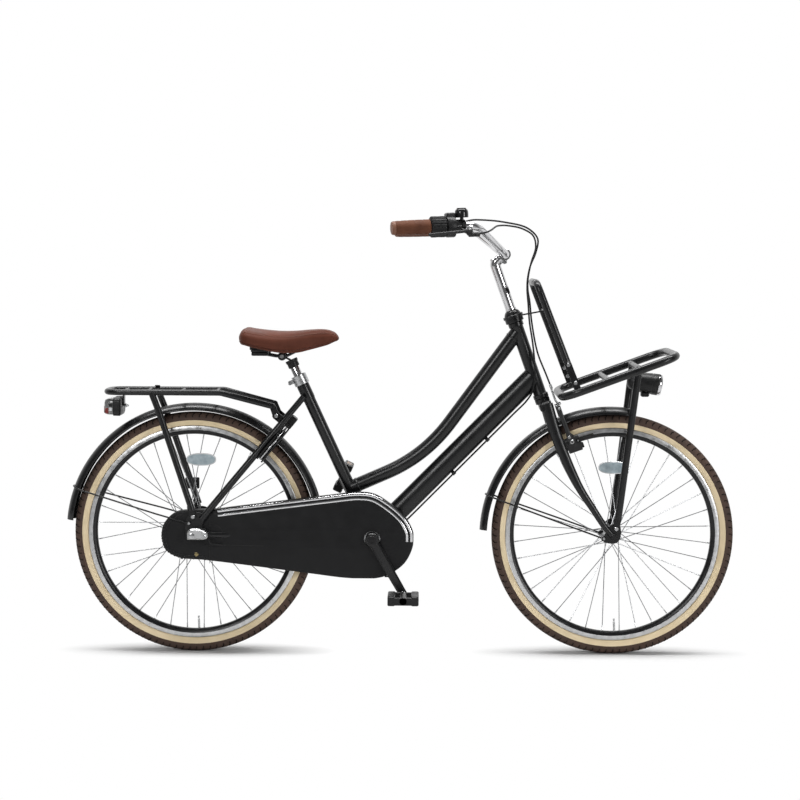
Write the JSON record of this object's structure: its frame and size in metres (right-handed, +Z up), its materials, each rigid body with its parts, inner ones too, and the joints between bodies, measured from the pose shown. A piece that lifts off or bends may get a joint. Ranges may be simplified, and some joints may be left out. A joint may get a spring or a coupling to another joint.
{
  "type": "city bicycle",
  "caption": "Step-through city bicycle with a curved top tube, full chain case, ring lock, rear carrier and a wide front carrier on the fork.",
  "frame": {"origin": "point of the ground under the rear axle, where the rear tyre touches it", "axes": "+X forward along the wheelbase, +Y to the rider's left, +Z up; the chain is on the -Y side"},
  "size_m": [1.8033, 0.6906, 1.2047],
  "materials": {
    "frame_paint": "gloss black enamel",
    "case_plastic": "matte black moulded",
    "chrome": "polished",
    "silver_alloy": "satin",
    "steel": "zinc plated",
    "tyre": "brown tread with cream sidewalls",
    "leather": "brown leatherette",
    "grip_brown": "brown grip",
    "rubber": "black",
    "black_plastic": "black moulded",
    "red_lens": "red lens in a black body"
  },
  "bodies": {
    "frame": {"bottom_bracket_shell": "frame_paint", "seat_tube": "frame_paint", "head_tube": "frame_paint", "top_tube": "frame_paint", "down_tube": "frame_paint", "chain_stays": "frame_paint", "seat_stays": "frame_paint", "rear_axle": "steel", "chain": "steel", "chain_case_cover": "case_plastic", "chain_case_back": "case_plastic", "chain_case_trim": "chrome", "shift_cable": "rubber", "rear_fender": "frame_paint", "rear_fender_stay": "frame_paint", "rear_rack": "frame_paint", "rear_lamp": "red_lens", "carrier_strap": "rubber", "ring_lock": "black_plastic", "seat_clamp": "silver_alloy"},
    "steering": {"fork": "frame_paint", "front_axle": "steel", "front_fender": "frame_paint", "front_fender_stay": "frame_paint", "handlebar": "chrome", "stem": "chrome", "grip_right": "grip_brown", "grip_left": "grip_brown", "shifter_housing": "black_plastic", "brake_bracket": "black_plastic", "bell": "chrome", "front_carrier": "frame_paint", "carrier_upright": "frame_paint", "headlamp": "black_plastic", "brake_cable": "rubber"},
    "rear_wheel": {"rear_tyre": "tyre", "rear_rim": "silver_alloy", "rear_hub": "silver_alloy", "rear_spokes_right": "steel", "rear_spokes_left": "steel"},
    "front_wheel": {"front_tyre": "tyre", "front_rim": "silver_alloy", "front_hub": "silver_alloy", "front_spokes_right": "steel", "front_spokes_left": "steel"},
    "cranks": {"crank_right": "silver_alloy", "crank_left": "silver_alloy"},
    "right_pedal": {"pedal_right": "rubber"},
    "left_pedal": {"pedal_left": "rubber"},
    "sprocket": {"rear_sprocket": "steel"},
    "seat": {"seatpost": "chrome", "saddle": "leather", "saddle_frame": "black_plastic"},
    "lock_bolt": {"ring_lock_bolt": "steel"},
    "stand": {"kickstand": "frame_paint"},
    "twist_grip": {"shifter_grip": "rubber"},
    "lever": {"brake_lever": "black_plastic"},
    "arm_right": {"brake_arm_right": "silver_alloy"},
    "arm_left": {"brake_arm_left": "silver_alloy"},
    "bell_thumb": {"bell_lever": "chrome"}
  },
  "joints": [
    {"name": "steering_turn", "type": "hinge", "parent": "frame", "child": "steering", "pos_m": [0.862, 0, 0.898], "axis": [-0.3371, 0, 0.9415], "range_deg": [-60, 60], "deforming": ["shift_cable"]},
    {"name": "rear_wheel_spin", "type": "hinge", "parent": "frame", "child": "rear_wheel", "pos_m": [0, 0, 0.3265], "axis": [0, 1, 0], "continuous": true},
    {"name": "front_wheel_spin", "type": "hinge", "parent": "steering", "child": "front_wheel", "pos_m": [1.129, 0, 0.3265], "axis": [0, 1, 0], "continuous": true},
    {"name": "crank_turn", "type": "hinge", "parent": "frame", "child": "cranks", "pos_m": [0.481, 0, 0.316], "axis": [0, 1, 0], "continuous": true},
    {"name": "sprocket_turn", "type": "hinge", "parent": "frame", "child": "sprocket", "pos_m": [0, 0, 0.3265], "axis": [0, 1, 0], "continuous": true},
    {"name": "right_pedal_turn", "type": "hinge", "parent": "cranks", "child": "right_pedal", "pos_m": [0.566, -0.135, 0.16878], "axis": [0, 1, 0], "continuous": true},
    {"name": "left_pedal_turn", "type": "hinge", "parent": "cranks", "child": "left_pedal", "pos_m": [0.396, 0.135, 0.46322], "axis": [0, 1, 0], "continuous": true},
    {"name": "seat_height", "type": "slide", "parent": "frame", "child": "seat", "axis": [-0.421, 0, 0.907], "range_m": [-0.012, 0.06]},
    {"name": "lock_bolt_turn", "type": "hinge", "parent": "frame", "child": "lock_bolt", "pos_m": [0.20398, 0, 0.55836], "axis": [0.7698, 0, -0.6383], "range_deg": [0, 112]},
    {"name": "stand_turn", "type": "hinge", "parent": "frame", "child": "stand", "pos_m": [0.395, 0.05, 0.29], "axis": [0, -1, 0], "range_deg": [0, 90]},
    {"name": "twist_grip_turn", "type": "hinge", "parent": "steering", "child": "twist_grip", "pos_m": [0.65062, -0.28826, 1.14949], "axis": [-0.9673, -0.2509, -0.0379], "range_deg": [0, 60]},
    {"name": "brake_lever_pull", "type": "hinge", "parent": "steering", "child": "lever", "pos_m": [0.73067, -0.30149, 1.13328], "axis": [-0.0938, 0.4922, -0.8654], "range_deg": [0, 10], "stiffness_Nm_per_rad": 2},
    {"name": "brake_arm_right_turn", "type": "hinge", "parent": "steering", "child": "arm_right", "pos_m": [1.012, -0.038, 0.579], "axis": [-0.9415, 0, -0.3371], "range_deg": [0, 3.3]},
    {"name": "brake_arm_left_turn", "type": "hinge", "parent": "steering", "child": "arm_left", "pos_m": [1.012, 0.038, 0.579], "axis": [0.9415, 0, 0.3371], "range_deg": [0, 3.3]},
    {"name": "bell_lever_push", "type": "hinge", "parent": "steering", "child": "bell_thumb", "pos_m": [0.71398, -0.27183, 1.15197], "axis": [-0.0367, -0.0095, 0.9993], "range_deg": [0, 25], "stiffness_Nm_per_rad": 0.05}
  ],
  "couplings": [
    {"joint": "sprocket_turn", "follows": "crank_turn", "ratio": 2},
    {"joint": "brake_arm_right_turn", "follows": "brake_lever_pull", "ratio": 0.33},
    {"joint": "brake_arm_left_turn", "follows": "brake_lever_pull", "ratio": 0.33}
  ]
}
